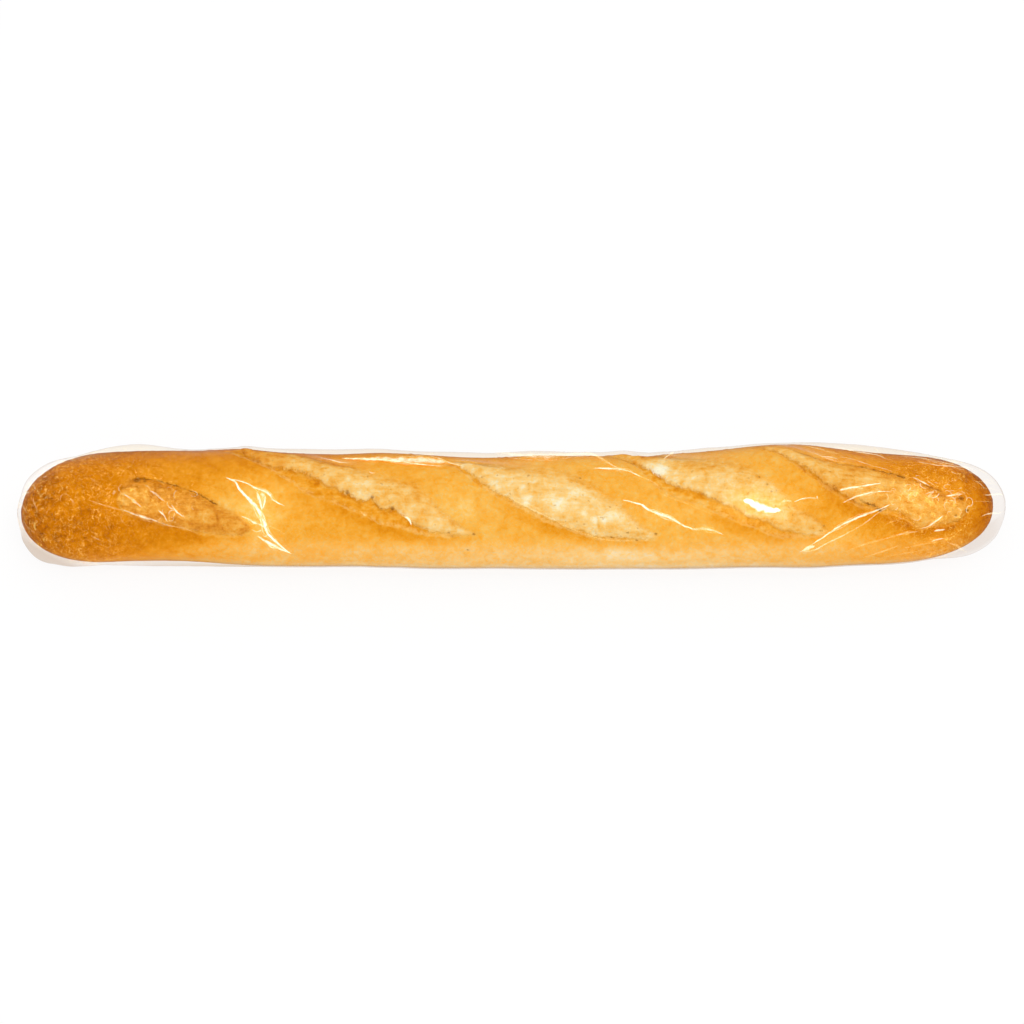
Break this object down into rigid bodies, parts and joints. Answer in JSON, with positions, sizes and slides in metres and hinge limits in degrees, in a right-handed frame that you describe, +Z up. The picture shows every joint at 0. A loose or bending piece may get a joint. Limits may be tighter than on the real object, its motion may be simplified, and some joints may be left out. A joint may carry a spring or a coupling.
{
  "type": "baguette in clear film",
  "caption": "Long golden baguette with slanting slashes, sealed tight in clear shrink film, with a flat base.",
  "frame": {"origin": "middle of the bottom face of the bounding box, on the table", "axes": "+X along the loaf, +Y to the side away from the camera, +Z up"},
  "size_m": [0.5598, 0.075, 0.0582],
  "materials": {
    "crust": "baked crust, satin where browned and matt where the crumb tore open",
    "film": "clear thin shrink film, glossy"
  },
  "bodies": {
    "root": {"wrapped_baguette": "crust"}
  },
  "joints": []
}
